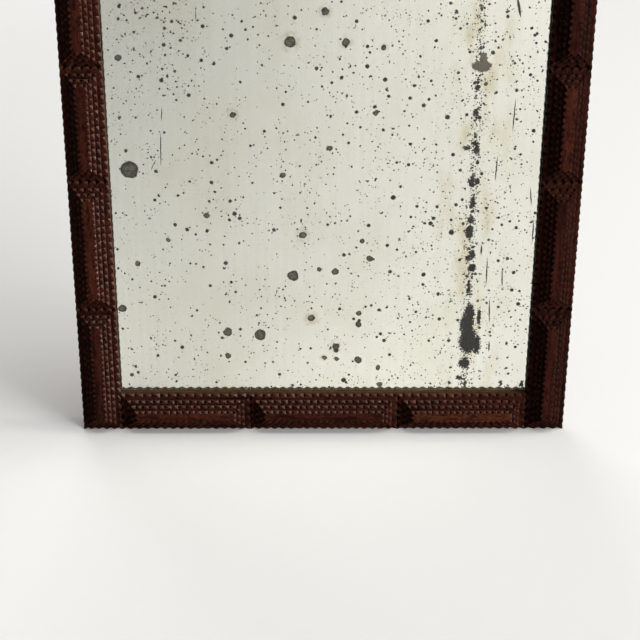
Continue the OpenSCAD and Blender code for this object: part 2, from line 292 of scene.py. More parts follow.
soft_lamp("room_lamp", (0.76, -0.6, 0.24), 5.0, (2.4, 2.4), 0.95)
soft_lamp("window_lamp", (0.86, -0.08, 0.49), 4.0, (1.7, 3.2), 0.45)
soft_lamp("ceiling_lamp", (0.2, -0.16, 0.97), 5.0, (2.4, 2.4), 0.28)
soft_lamp("back_lamp", (-0.25, 0.93, 0.28), 5.0, (3.0, 3.0), 0.55)

world = bpy.data.worlds.new("soft_room")
scene.world = world
world.use_nodes = True
tree = world.node_tree
sky_way = put(tree, "TexCoord").outputs["Generated"]
sky_height = put(tree, "SeparateXYZ", {0: sky_way}).outputs["Z"]
shown_sky = ramp_of(tree, sky_height, *HORIZON_BAND, HORIZON_SKY, HIGH_SKY)
above_soft = less(tree, shown_sky, SOFT_SKY)
strength = scale_add(tree, shown_rays(tree), above_soft, SOFT_SKY)
fill(tree, tree.nodes["Background"], {"Color": (1.0, 1.0, 1.0, 1.0), "Strength": strength})
scene.view_settings.view_transform = "Standard"
print("lamps:", len(bpy.data.lights))

# %% [markdown]
# Grain is what every board here shares, so it is a node group: long soft bands that run with the wood,
# and fine pores between them. It reads a vector whose first part runs along the board.

# %% Grain group
BAND_STRETCH = (0.03, 1.0, 1.0)
PORE_STRETCH = (0.025, 1.0, 1.0)

grain_outputs = ["Figure", "Height"]
tree, taken, given = new_group("wood_grain", grain_outputs, Along=None, Bands=260.0, Pores=1500.0)
grain_group = tree
bands = noise_of(tree, stretch_of(tree, taken["Along"], BAND_STRETCH), taken["Bands"], 4.0, 0.6)
pores = noise_of(tree, stretch_of(tree, taken["Along"], PORE_STRETCH), taken["Pores"], 2.0, 0.6)
figure = scale_add(tree, pores, 0.4, times(tree, bands, 0.6))
tree.links.new(ramp_of(tree, figure, 0.3, 0.7), given["Figure"])
tree.links.new(pores, given["Height"])
print("group:", grain_group.name)

# %% [markdown]
# Dust settles on what faces up and clings in patches. This group gives its mask for any material.

# %% Dust group
tree, taken, given = new_group("settled_dust", ["Mask"], Place=None, Amount=0.5)
dust_group = tree
facing_up = put(tree, "SeparateXYZ", {0: put(tree, "NewGeometry").outputs["Normal"]}).outputs["Z"]
amount = times(tree, ramp_of(tree, facing_up, 0.05, 0.95), taken["Amount"])
patches = ramp_of(tree, noise_of(tree, taken["Place"], 90.0, 4.0, 0.65), 0.35, 0.7)
specks = ramp_of(tree, noise_of(tree, taken["Place"], 1400.0, 1.0), 0.45, 0.75)
cling = scale_add(tree, specks, 0.5, times(tree, patches, 0.5))
tree.links.new(times(tree, amount, cling, clamp=True), given["Mask"])
print("group:", dust_group.name)

# %% [markdown]
# The carved boards are cigar-box thin wood under old brown shellac: nearly black in places, red on the
# faces and amber where the brush left little. Each carved mesh carries a tone for its board and the run of
# its grain as attributes, so that no two boards look alike and the bands follow the wood.

# %% Shellac colour
SHELLAC_DARK = rgb(26, 10, 8)
SHELLAC_RED = rgb(72, 33, 25)
SHELLAC_AMBER = rgb(98, 54, 34)
GRIME_AND_SHADE = rgb(12, 5, 4)
DRIFT_WAVES = (18.0, 60.0, 60.0)
SMUDGE_WAVES = (90.0, 260.0, 260.0)
CRACKLE_WAVES = (320.0, 620.0, 620.0)


def attribute_of(tree, name):
    """One of the carver's own attributes, as a number."""
    return put(tree, "Attribute", attribute_name=name).outputs["Fac"]


def shellac_colour(tree, along, figure):
    """Dark, red or amber by the sum of the grain's figure, the board's tone and a slow drift, then smudged
    in patches and finely crackled with dark dirt. Returns the colour and the mask of the crackle."""
    drift = streaks_of(tree, along, DRIFT_WAVES)
    tone = less(tree, attribute_of(tree, "tone"), 0.45)
    tone = scale_add(tree, drift, 0.9, tone)
    warmth = scale_add(tree, figure, 0.55, times(tree, tone, 0.6))
    colour = blend_of(tree, ramp_of(tree, warmth, 0.05, 0.65), SHELLAC_DARK, SHELLAC_RED)
    colour = blend_of(tree, ramp_of(tree, warmth, 0.6, 1.15), colour, SHELLAC_AMBER)
    smudge = ramp_of(tree, streaks_of(tree, along, SMUDGE_WAVES), 0.45, 0.7, 0.0, 0.75)
    colour = blend_of(tree, smudge, colour, SHELLAC_DARK)
    crackle = ramp_of(tree, streaks_of(tree, along, CRACKLE_WAVES, 3.0, 0.7), 0.4, 0.68, 0.0, 0.6)
    return blend_of(tree, crackle, colour, GRIME_AND_SHADE), crackle


print("crackle:", CRACKLE_WAVES[0], "waves to the metre")

# %% [markdown]
# Age comes next. The points of the teeth are rubbed paler and the sides by the glass are raw. The backs of
# the boards are dirty, and the hollows of the notches and the ledges under the next layer are darkened as
# painted shade. In the photograph the sides that face left are nearly black, and those that face up and to
# the right shine. Here the sides that face left get painted shade, and those that face the light a paler
# painted highlight, by the way a side faces. Edge wear could be guessed from the mesh's curvature, but the
# carver knows where points and hollows are, so these too are attributes that the finish reads.

# %% Wear, raw sides, dirt, painted shade and painted highlight
# A paler colour for rubbed points, and for the painted highlight on cuts that face the light.
RUBBED_AND_HIGHLIGHT = rgb(110, 72, 56)
RAW_WOOD = rgb(72, 53, 33)
LIT_WAY = (0.8, 0.0, 0.6)
# The share of painted highlight on sides that face up and to the right.
HIGHLIGHT_SHARE = 1.1
# The share of painted shade on sides that face left.
LEFT_SIDE_SHADE_SHARE = 0.9


def aged_colour(tree, colour, figure, blotch, normal, facing):
    """Lays one colour over the other, each by an attribute times a patchy mask: rubbed points, raw sides,
    dirt with painted shade in the hollows and on ledges, then a painted highlight by how far a cut faces
    the light, and painted shade by how far it faces left."""
    layers = [
        ("wear", ramp_of(tree, blotch, 0.35, 0.65), RUBBED_AND_HIGHLIGHT),
        ("raw", ramp_of(tree, figure, 0.0, 0.8, 0.5, 1.0), RAW_WOOD),
        # This layer is dirt on the backs of the boards, and painted shade in the notch hollows and on
        # ledges under the next layer.
        ("grime_and_shade", ramp_of(tree, blotch, 0.2, 0.6, 0.55, 0.95), GRIME_AND_SHADE),
        # The shine layer is a painted highlight: cuts that face up and to the right are made paler.
        ("shine", ramp_of(tree, facing, 0.2, 0.8, 0.0, HIGHLIGHT_SHARE), RUBBED_AND_HIGHLIGHT),
    ]
    for name, patches, paint in layers:
        colour = blend_of(tree, times(tree, attribute_of(tree, name), patches), colour, paint)
    # Sides that face left are darkened towards near black by the way they face: painted shade.
    sideways = put(tree, "SeparateXYZ", {0: normal}).outputs["X"]
    return blend_of(tree, ramp_of(tree, sideways, -0.6, -0.1, LEFT_SIDE_SHADE_SHARE, 0.0), colour, GRIME_AND_SHADE)


print("polish faces", LIT_WAY)

# %% [markdown]
# The shellac's shine is a coat with its own weight over the dull colour. It is left only in polished cuts
# that face up and to the right, and the crackle breaks it up, so it shows as small glints.

# %% Carved wood finish
DUST = rgb(138, 112, 94)
DUST_AMOUNT = 0.13


def carved_wood(name, dull_spread):
    """Grain, shellac, age with its painted shade and highlight, and dust make the colour. What is left of
    the shine is the coat's weight.
    """
    material, tree, shader = new_finish(name)
    along = put(tree, "Attribute", attribute_name="grain").outputs["Vector"]
    grain = use_group(tree, grain_group, Along=along, Bands=300.0, Pores=1700.0)
    blotch = noise_of(tree, along, 120.0, 3.0)
    normal = put(tree, "NewGeometry").outputs["Normal"]
    facing = put(tree, "VectorMath", {0: normal, 1: LIT_WAY}, operation="DOT_PRODUCT").outputs["Value"]
    colour, crackle = shellac_colour(tree, along, grain["Figure"])
    colour = aged_colour(tree, colour, grain["Figure"], blotch, normal, facing)
    dust_left = scale_add(tree, attribute_of(tree, "raw"), -DUST_AMOUNT, DUST_AMOUNT)
    dust = use_group(tree, dust_group, Place=along, Amount=dust_left)["Mask"]
    dull = scale_add(tree, blotch, dull_spread, 0.35)
    unbroken = ramp_of(tree, crackle, 0.05, 0.5, 1.3, 0.2)
    kept = times(tree, ramp_of(tree, facing, 0.1, 0.6), unbroken)
    shine = times(tree, attribute_of(tree, "shine"), kept)
    height = scale_add(tree, blotch, 0.6, grain["Height"])
    bump = put(tree, "Bump", {"Height": height, "Strength": 0.35, "Distance": 0.0004})
    fill(tree, shader, {
        "Base Color": blend_of(tree, dust, colour, DUST),
        "Roughness": math_of(tree, "ADD", dull, dust, clamp=True),
        "Specular IOR Level": 0.02,
        "Coat Weight": less(tree, shine, dust, clamp=True),
        "Coat Roughness": 0.15,
        "Normal": bump.outputs["Normal"],
    })
    return material


strip_wood = carved_wood("strip_wood", 0.4)
block_wood = carved_wood("block_wood", 0.32)
print("finishes:", strip_wood.name, block_wood.name)

# %% [markdown]
# Each carved board is one closed skin. Its profile starts on the back, turns up the side, meets a notch
# or the plain side, follows the cut to the face and ends in a plain ring. That profile is carried round
# the outline of the board. A notch is a slanted V: its valley lies deepest in the face and runs out of the
# side just above the back. Cutting with Booleans would give the same facets, but knife work wanders, so
# each notch here has its own place, width, depth and lean.

# %% Carving a board
NOTCH_LAND = 0.5
ARRIS = 0.14
BACK_EASE = 0.25
FACE_MARGIN = 1.35
FALLS = np.array([0.0, 0.0, 0.5, 1.0, 0.5, 0.0])


def notched_edge(run, pitch, depth, rng):
    """Points along one edge of a board from its corner to just before the next. The edge is divided
    into equal teeth. A notch falls in a straight line from its mouth to its valley and rises again, no
    steeper than a right angle, and every mouth, valley and depth is moved a little by chance. Returns
    the distance along the edge, the fall from 0 at the mouth to 1 in the valley, and the depth."""
    count = max(1, round(run / pitch))
    step = run / count
    tip = np.arange(count) * step
    tip[1:] += rng.uniform(-0.12, 0.12, count - 1)
    middle = (np.arange(count) + 0.5) * step + rng.uniform(-0.22, 0.22, count)
    mouth = (step - NOTCH_LAND) / 2 * rng.uniform(0.86, 1.0, (2, count))
    left, right = middle - mouth[0], middle + mouth[1]
    valley = middle + rng.uniform(-0.08, 0.08, count) * step
    along = np.stack([tip, left, (left + valley) / 2, valley, (valley + right) / 2, right], axis=1)
    fall = np.tile(FALLS, (count, 1))
    fall[:, 0] = rng.uniform(0.0, 0.12, count)
    deep = np.minimum(depth * rng.uniform(0.84, 1.1, count), 0.95 * mouth.min(axis=0))
    return along.ravel(), fall.ravel(), np.repeat(deep, FALLS.size)


def carve(length, width, thick, pitch, depth, foot, crown, rng):
    """The skin of one board in millimetres. Local axes: length, width, and up out of the face. Round the
    outline each point has a fall f and a depth d, so the cut starts in the side at the height
    thick - f * (thick - foot) and reaches the face at an inset of f * d. Eight rings follow the
    profile: back, eased back edge, top of the plain side, three along the cut, arris and plain face.
    Returns the ring points as an array (8, around, 3), the fall, and the number of each point's edge."""
    half = np.array([length, width]) / 2
    corners = np.array([[-1, -1], [1, -1], [1, 1], [-1, 1]]) * half
    ways = np.array([[1, 0], [0, 1], [-1, 0], [0, -1]])
    inwards = np.roll(ways, -1, axis=0)
    runs = [length, width, length, width]
    edges = [notched_edge(run, pitch, depth, rng) for run in runs]
    sizes = [e[0].size for e in edges]
    along, fall, deep = (np.concatenate(parts) for parts in zip(*edges))
    run = np.repeat(runs, sizes)
    corner, way, inward = (np.repeat(a, sizes, axis=0) for a in (corners, ways, inwards))

    inset = fall * deep
    start = thick - fall * (thick - foot)
    slope = np.hypot(inset, thick - start)
    ease = ARRIS * rng.uniform(0.7, 1.5, along.size)
    share = ease / (slope + 2 * ease)
    blunt = 0.35 * ease * np.exp(-slope / ease)
    hand = rng.normal(0, 0.05, along.size) * np.minimum(slope, 1)
    plain = np.full(along.size, FACE_MARGIN * depth)
    zero = np.zeros(along.size)
    insets = np.stack([zero + BACK_EASE, zero, zero, share * inset, inset / 2 + hand,
                       (1 - share) * inset + blunt, inset + ease, plain])
    climb = share * (thick - start)
    heights = np.stack([zero, zero + BACK_EASE, start - ease, start + climb - blunt,
                        (start + thick) / 2, thick - climb, zero + thick, zero + thick + crown])
    shifts = np.stack([zero + BACK_EASE, zero, zero, zero, zero, zero, ease, plain])
    travelled = shifts + (1 - 2 * shifts / run) * along
    flat = corner + way * travelled[..., None] + inward * insets[..., None]
    rings = np.concatenate([flat, heights[..., None]], axis=2)
    edge_number = np.repeat(np.arange(4), sizes)
    return rings, fall, edge_number


print("a notch has", FALLS.size, "points round the outline")

# %% [markdown]
# A ring of points becomes faces by joining each ring to the next, and the first and last rings are closed
# with one flat face each. The same step writes what the finish needs: where the grain runs, how rubbed
# each point is, how dirty and how deep in painted shade, and which sides are raw. Each list below goes
# from the back to the face.

# %% From rings to a mesh
RING_GRIME = np.array([[0.9, 0.7, 0.15, 0.1, 0.15, 0.2, 0.1, 0.0]]).T
# The hollow and ledge lists are painted shade: the notch valleys and the ledge under the next layer are
# darkened.
RING_HOLLOW_SHADE = np.array([[0.0, 0.0, 0.3, 0.6, 0.75, 0.8, 0.4, 0.0]]).T
RING_LEDGE_SHADE = np.array([[0.0, 0.0, 0.0, 0.0, 0.0, 0.05, 0.15, 1.0]]).T
RING_WEAR = np.array([[0.0, 0.0, 0.25, 0.7, 0.6, 0.8, 0.5, 0.0]]).T
RING_SHINE = np.array([[0.0, 0.2, 0.35, 0.45, 0.45, 0.4, 0.1, 0.03]]).T
RING_RAW = np.array([[1.0, 1.0, 0.4, 0.1, 0.0, 0.0, 0.0, 0.0]]).T
SMOOTH_BELOW = math.radians(24)


def ring_faces(ring_count, around, first):
    """Quads between each ring and the next, and a cap on the first and the last ring."""
    ring, step = np.meshgrid(np.arange(ring_count - 1), np.arange(around), indexing="ij")
    here, there = ring * around + step, ring * around + (step + 1) % around
    quads = np.stack([here, there, there + around, here + around], axis=-1).reshape(-1, 4) + first
    back = (np.arange(around)[::-1] + first).tolist()
    face = (np.arange(around) + first + (ring_count - 1) * around).tolist()
    return quads.tolist() + [back, face]


def board_data(rings, fall, edge_number, tone, polish, ledge, raw_edges, rng):
    """The carver's attributes for one board: grain with a chance offset, wear, shine, dirt with painted
    shade, tone and raw. A board under another one gets painted shade on its ledge, up to the given share."""
    around = fall.size
    offset = rng.uniform(-1, 1, 3)
    tips = (fall < 0.2) * rng.uniform(0.2, 1.0, around)
    raw = RING_RAW * np.isin(edge_number, raw_edges)
    shine = RING_SHINE * polish * rng.uniform(0.4, 1.0, around) * (raw < 0.3)
    # Dirt on the backs, and painted shade in the hollows and on a ledge under another board.
    grime_and_shade = RING_GRIME * (1 - raw) + RING_HOLLOW_SHADE * fall + RING_LEDGE_SHADE * ledge
    return {
        "grain": (rings * MM + offset).reshape(-1, 3),
        "wear": (RING_WEAR * tips * (0.4 + 0.6 * polish)).ravel(),
        "shine": shine.ravel(),
        "grime_and_shade": grime_and_shade.ravel(),
        "tone": np.full(rings.shape[0] * around, tone),
        "raw": raw.ravel(),
    }


def carved_piece(name, boards, material):
    """Joins carved boards, each already in the row frame, into one piece on the frame's body."""
    points, faces, count = [], [], 0
    data = {}
    for rings, attributes in boards:
        points.append(rings.reshape(-1, 3))
        faces += ring_faces(rings.shape[0], rings.shape[1], count)
        count += rings.shape[0] * rings.shape[1]
        for key, values in attributes.items():
            data.setdefault(key, []).append(values)
    piece = mesh_object(name, np.concatenate(points), faces, material)
    for key, parts in data.items():
        values = np.concatenate(parts).astype(np.float32)
        kind, field = ("FLOAT_VECTOR", "vector") if values.ndim == 2 else ("FLOAT", "value")
        piece.data.attributes.new(key, kind, "POINT").data.foreach_set(field, values.ravel())
    piece.data.shade_smooth()
    piece.data.set_sharp_from_angle(angle=SMOOTH_BELOW)
    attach(piece, "frame")
    return piece


def place_board(rings, middle, upright, lean):
    """Turns a board from its own axes into the row frame. Its length runs up a stile or along a rail, its
    face looks into the room, and lean turns it a little in its own plane."""
    x, y, z = np.eye(3)
    along, across = (z, -x) if upright else (x, z)
    cos, sin = math.cos(lean), math.sin(lean)
    axes = np.stack([cos * along + sin * across, cos * across - sin * along, -y])
    return np.asarray(middle) + rings * MM @ axes


print("attributes: grain, wear, shine, grime, tone, raw")

# %% [markdown]
# The base strips lie on the pine frame, one under each block. They are the widest boards, so their teeth
# make the zigzag outline, and where two strips meet end to end their notches make a row of dark
# holes. The side that faces the mirror was stained only as far as the brush reached. The boards on the
# right hardly shine in the photograph, so here they get little polish and a darker tone.

# %% Base strips
BASE_PITCH = 7.8
BASE_NOTCH = 2.9
BASE_FOOT = 3.6
# The ledge of a board under another one is darkened up to this share, as painted shade.
LEDGE_SHADE = 0.15
HAND_PITCH = (0.93, 1.07)
COUNTS = {"left": 6, "right": 6, "bottom": 3, "top": 3}
RAW_EDGE = {"left": 0, "right": 2, "bottom": 2, "top": 0}
POLISH = {"left": 1.0, "right": 0.05, "bottom": 1.0, "top": 1.0}
TONE_SHIFT = {"left": 0.0, "right": -0.12, "bottom": 0.0, "top": 0.0}
PLACES = [
    (member, i, 100 * number + i, member in ("left", "right"))
    for number, (member, count) in enumerate(COUNTS.items())
    for i in range(1, count + 1)
]


def node_size(node, upright):
    """Middle of a node's back, and its length, width and thickness in millimetres, from its solid."""
    low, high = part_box(node)
    spread = (high - low) / MM
    middle = ((low.x + high.x) / 2, high.y, (low.z + high.z) / 2)
    length, width = (spread.z, spread.x) if upright else (spread.x, spread.z)
    return middle, length, width, spread.y


strips = []
for member, i, seed, upright in PLACES:
    node = f"{member}_strip_{i}"
    rng = np.random.default_rng(seed)
    middle, length, width, thick = node_size(node, upright)
    pitch = BASE_PITCH * rng.uniform(*HAND_PITCH)
    rings, fall, edge = carve(length, width, thick, pitch, BASE_NOTCH, BASE_FOOT, 0.0, rng)
    tone = rng.uniform(0.15, 0.6) + TONE_SHIFT[member]
    data = board_data(rings, fall, edge, tone, POLISH[member], LEDGE_SHADE, [RAW_EDGE[member]], rng)
    board = (place_board(rings, middle, upright, 0.0), data)
    strip = carved_piece(node + "_carved", [board], strip_wood)
    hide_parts(node)
    strips.append(strip)
print("base strips:", len(strips), "with", sum(len(s.data.polygons) for s in strips), "faces")

# %% [markdown]
# Each block is three layers, every one narrower and shorter than the one below, with the top one a plain
# narrow strip that shows its grain. The upper layers were glued down by eye, so they sit a little askew.

# %% Hipped blocks
LAYER_THICK = 3.8
LAYER_RISE = 3.85
LAYER_STEP = 3.75
LAYER_PITCHES = (6.9, 6.5, 5.6)
LAYER_NOTCH = 2.9
LAYER_FOOT = 0.5
TOP_CROWN = 0.12
ASKEW_MM = 0.22
ASKEW_TURN = math.radians(0.12)
TOP_TONES = {"bottom_block_3": 0.95, "bottom_block_2": 0.5, "left_block_2": 0.75, "right_block_3": 0.85}

blocks = []
for member, i, seed, upright in PLACES:
    node = f"{member}_block_{i}"
    rng = np.random.default_rng(1000 + seed)
    middle, length, width, _ = node_size(node, upright)
    boards = []
    for layer, pitch in enumerate(LAYER_PITCHES):
        askew = rng.uniform(-1, 1, 3) * (layer > 0)
        spot = np.array(middle) + np.array([askew[0], 0, askew[1]]) * ASKEW_MM * MM
        spot[1] -= layer * LAYER_RISE * MM
        inset = 2 * layer * LAYER_STEP
        size = (length - inset, width - inset, LAYER_THICK)
        top = layer == len(LAYER_PITCHES) - 1
        pitch = pitch * rng.uniform(*HAND_PITCH)
        rings, fall, edge = carve(*size, pitch, LAYER_NOTCH, LAYER_FOOT, TOP_CROWN * top, rng)
        tone = TOP_TONES.get(node, rng.uniform(0.35, 0.7)) if top else rng.uniform(0.1, 0.55)
        tone += TONE_SHIFT[member]
        data = board_data(rings, fall, edge, tone, POLISH[member], LEDGE_SHADE * (not top), [], rng)
        boards.append((place_board(rings, spot, upright, askew[2] * ASKEW_TURN), data))
    block = carved_piece(node + "_carved", boards, block_wood)
    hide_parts(node)
    blocks.append(block)
print("blocks:", len(blocks), "with", sum(len(b.data.polygons) for b in blocks), "faces")

# %% [markdown]
# The mirror is a sheet of glass with silver and a coat of dark paint on its back. A shiny front face
# would be simpler, but then the reflection of the frame would touch the frame. With real glass in front, a
# narrow gap shows between the wood and its image, as it does in the photograph. The silver lies just
# inside the back of the glass, so that no film of air between them adds a reflection of its own.

# %% Glass and silver sheets
SILVER_THICK = 0.1 * MM
SILVER_COVER = 0.05 * MM


def sheet_piece(name, low, high, material):
    """A thin closed sheet between two corners: a profile of two rings carried round a rectangle."""
    corners = [(low.x, low.z), (high.x, low.z), (high.x, high.z), (low.x, high.z)]
    points = np.array([(x, y, z) for y in (high.y, low.y) for x, z in corners])
    piece = mesh_object(name, points, ring_faces(2, 4, 0), material)
    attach(piece, "frame")
    return piece


print("silver", round(SILVER_THICK / MM, 2), "mm thick")

# %% [markdown]
# Old glass is clear and very slightly green or yellow. The tint drifts over the plate, so that it
# isn't one flat colour. The glass is perfectly smooth, because a haze on it would blur the foxing.

# %% Old glass finish
GLASS_CLEAR = rgb(252, 253, 250)
GLASS_YELLOWED = rgb(247, 248, 240)

old_glass, tree, shader = new_finish("old_glass")
film = noise_of(tree, put(tree, "TexCoord").outputs["Object"], 14.0, 3.0)
tint = blend_of(tree, ramp_of(tree, film, 0.35, 0.7), GLASS_CLEAR, GLASS_YELLOWED)
fill(tree, shader, {"Base Color": tint, "Roughness": 0.0, "IOR": 1.5, "Transmission Weight": 1.0})
print("finish:", old_glass.name)

# %% [markdown]
# Foxing is silver that damp has eaten away, so that the dark back shows. It comes as grains of all sizes,
# as round blots, a few with a brown stain about them, and as a tall torn streak. Fields of grains are
# random cells with a dot in some of them. A node group makes one field, and the finish places it often.

# %% Grains group
tree, taken, given = new_group("foxing_grains", ["Mask"], Place=None, Cells=100.0, Share=0.4, Size=0.15)
grains_group = tree
cell_inputs = {"Vector": taken["Place"], "Scale": taken["Cells"], "Randomness": 1.0}
cells = put(tree, "TexVoronoi", cell_inputs, voronoi_dimensions="2D", feature="F1").outputs
chance = put(tree, "SeparateColor", {0: cells["Color"]}).outputs
present = math_of(tree, "LESS_THAN", chance[0], taken["Share"])
small_bias = math_of(tree, "POWER", chance[1], 2.2)
radius = times(tree, scale_add(tree, small_bias, 0.6, 0.4), taken["Size"])
dot = ramp_of(tree, math_of(tree, "DIVIDE", cells["Distance"], radius), 0.8, 1.1, 1.0, 0.0)
tree.links.new(times(tree, dot, present), given["Mask"])


def grains_of(tree, place, cells, share, size):
    """One field of grains as a mask: cells to the metre, the share of them that holds a grain, and the
    largest grain's radius in cells."""
    return use_group(tree, grains_group, Place=place, Cells=cells, Share=share, Size=size)["Mask"]


print("group:", grains_group.name)

# %% [markdown]
# A scratch is a straight line that is widest in the middle. How far a point has gone along the line,
# from 0 to 1, gives the line's middle and its half width there, and the mask is 1 within that width.

# %% Scratch group
tree, taken, given = new_group("tapered_scratch", ["Mask"], Place=None, From=None, To=None, Half=0.0005)
scratch_group = tree
vectors = ("Place", "From", "To")
here, begin, end = (put(tree, "SeparateXYZ", {0: taken[key]}).outputs for key in vectors)
reach = less(tree, end["Y"], begin["Y"])
gone = math_of(tree, "DIVIDE", less(tree, here["Y"], begin["Y"]), reach)
slide = less(tree, end["X"], begin["X"])
line = scale_add(tree, gone, slide, begin["X"])
off = math_of(tree, "ABSOLUTE", less(tree, here["X"], line))
spread = scale_add(tree, gone, 2.0, -1.0)
taper = less(tree, 1.0, times(tree, spread, spread))
allowed = times(tree, taper, taken["Half"])
tree.links.new(math_of(tree, "LESS_THAN", off, allowed), given["Mask"])
print("group:", scratch_group.name)

# %% [markdown]
# The larger blots, tears and scratches stand where the photograph shows them, as lists of places in
# millimetres: across from the middle, up from the hanging points, and a radius or half a width and half
# a height. The rest of the plate, and its unseen upper half, gets chance grains of the same kinds.

# %% Blots and scratches
STAINED = [
    (-31, -138, 4.9), (-1, -112, 3.4), (-81, -203, 3.0), (17, -138, 3.3), (50, -143, 2.2),
    (-20, -316, 3.6), (-12, -399, 3.6), (0, -440, 2.2), (11, -428, 3.4),
]
BLOTS = [
    (-179, -152, 3.1), (-174, -254, 8.0), (-38, -259, 2.8), (4, -234, 2.7), (44, -201, 2.6),
    (-107, -297, 3.0), (-142, -321, 2.4), (-171, -344, 2.7), (-29, -356, 5.0), (-5, -350, 2.7),
    (10, -352, 3.5), (-187, -389, 4.0), (-90, -413, 4.3), (-60, -416, 5.5), (-90, -438, 3.0),
    (41, -339, 3.2), (34, -322, 2.5), (32, -394, 2.6), (32, -405, 3.2), (12, -441, 2.4),
    (32, -442, 3.4), (51, -450, 2.6), (53, -468, 2.8),
]
DENSE_PATCH = (-150, -140, 45, 70)
FLAKES = [(135, -159, 8.6, 5.1), (136, -152, 3.2, 5.3)]
STREAK = [
    (132, -178, 2.6), (132, -201, 2.6, 4.0), (125, -233, 3.4, 2.2), (132, -229, 3.2, 2.1),
    (134, -234, 2.4, 5.0), (131, -264, 3.2, 5.5), (136, -264, 2.5, 3.2), (133, -285, 2.6, 6.5),
    (132, -301, 3.4, 3.2), (131, -313, 3.5, 7.0), (135, -335, 2.6, 4.5), (131, -338, 2.4, 3.0),
    (135, -348, 3.7, 4.1), (133, -368, 2.0, 7.0), (135, -394, 5.0, 10.0), (133, -406, 6.8, 12.0),
    (135, -422, 8.7, 14.5), (143, -426, 3.9, 10.0), (144, -398, 2.1, 9.0), (132, -446, 5.4, 5.3),
    (128, -461, 3.3, 2.4), (134, -468, 1.4, 4.1), (168, -467, 1.6, 3.3), (188, -468, 1.9, 3.3),
]
SCRATCHES = [
    (-145, -218, -146, -251, 0.5), (-143, -196, -144, -209, 0.4), (-111, -107, -111, -123, 0.3),
    (-150, -244, -155, -254, 0.4), (166, -187, 165, -219, 0.6), (153, -240, 152, -265, 0.6),
    (162, -98, 166, -117, 1.2), (149, -337, 149, -366, 0.6), (153, -378, 154, -405, 0.6),
    (155, -422, 155, -434, 0.7), (163, -347, 164, -368, 0.6), (184, -269, 186, -288, 0.6),
    (189, -300, 189, -324, 0.6), (143, -325, 143, -336, 0.8),
]


def nearest_spot(tree, place, spots):
    """The distance to the nearest spot, in radii of that spot: below 1 inside it. A spot is a place and a
    radius, or a place with half a width and half a height."""
    nearest = None
    for x, z, wide, *tall in spots:
        wide, tall = 1 / (wide * MM), 1 / ((tall[0] if tall else wide) * MM)
        inputs = {0: place, 1: (wide, tall, 0.0), 2: (-x * MM * wide, -z * MM * tall, 0.0)}
        scaled = put(tree, "VectorMath", inputs, operation="MULTIPLY_ADD").outputs[0]
        radii = put(tree, "VectorMath", {0: scaled}, operation="LENGTH").outputs["Value"]
        nearest = radii if nearest is None else math_of(tree, "MINIMUM", nearest, radii)
    return nearest


print("blots:", len(STAINED + BLOTS), "tears:", len(FLAKES + STREAK), "scratches:", len(SCRATCHES))

# %% [markdown]
# A spot that is drawn by distance is too round, so each place on the plate is first moved about by noise:
# little for grains, more for blots and most for torn edges. Some fields of grains also lie on turned
# planes, so that their grids don't line up.

# %% Places on the plate
ROUGH_WAVES, ROUGH_REACH = 500.0, 0.9 * MM
BULGE_WAVES, BULGE_REACH = 130.0, 3.6 * MM
RAGGED_WAVES, RAGGED_REACH = 420.0, 1.8 * MM
TORN_REACH = 5.0 * MM
FIELD_TURN = math.radians(33)
STREAK_X = 133 * MM
STREAK_REACH = 45 * MM


def wandered(tree, plane, waves, reach):
    """The place moved about by noise, up to half the reach each way, so that round spots get ragged."""
    noise = put(tree, "TexNoise", {"Vector": plane, "Scale": waves, "Detail": 3.0}).outputs["Color"]
    noise = put(tree, "VectorMath", {0: noise, 1: (0.5, 0.5, 0.5)}, operation="SUBTRACT").outputs[0]
    inputs = {0: noise, 1: (reach, reach, 0.0), 2: plane}
    return put(tree, "VectorMath", inputs, operation="MULTIPLY_ADD").outputs[0]


def turned(tree, plane):
    """The place turned in its plane by one fixed angle."""
    inputs = {"Vector": plane, "Angle": FIELD_TURN}
    return put(tree, "VectorRotate", inputs, rotation_type="Z_AXIS").outputs[0]


foxed_silver, tree, shader = new_finish("foxed_silver")
parts = put(tree, "SeparateXYZ", {0: put(tree, "TexCoord").outputs["Object"]}).outputs
plane = put(tree, "CombineXYZ", {0: parts["X"], 1: parts["Z"], 2: 0.0}).outputs[0]
rough_plane = wandered(tree, plane, ROUGH_WAVES, ROUGH_REACH)
blot_plane = wandered(tree, plane, BULGE_WAVES, BULGE_REACH)
blot_plane = wandered(tree, blot_plane, RAGGED_WAVES, RAGGED_REACH)
torn_plane = wandered(tree, plane, RAGGED_WAVES, TORN_REACH)
turned_once = turned(tree, rough_plane)
turned_twice = turned(tree, turned_once)
beside = math_of(tree, "ABSOLUTE", less(tree, parts["X"], STREAK_X))
beside = math_of(tree, "DIVIDE", beside, STREAK_REACH)
near_streak = ramp_of(tree, beside, 0.1, 1.0, 1.0, 0.0)
print("streak stands", round(STREAK_X / MM), "mm right of the middle")

# %% [markdown]
# The share of cells that hold a grain changes over the plate. In the photograph grains crowd on the right
# and by the streak, and elsewhere they gather in clumps. Several fields lie over each other, from
# dust-fine to a few large spots, and the streak has crumbs of its own.

# %% Grains of lost silver
SEEN_TOP = -95 * MM
FADE_IN = 10 * MM

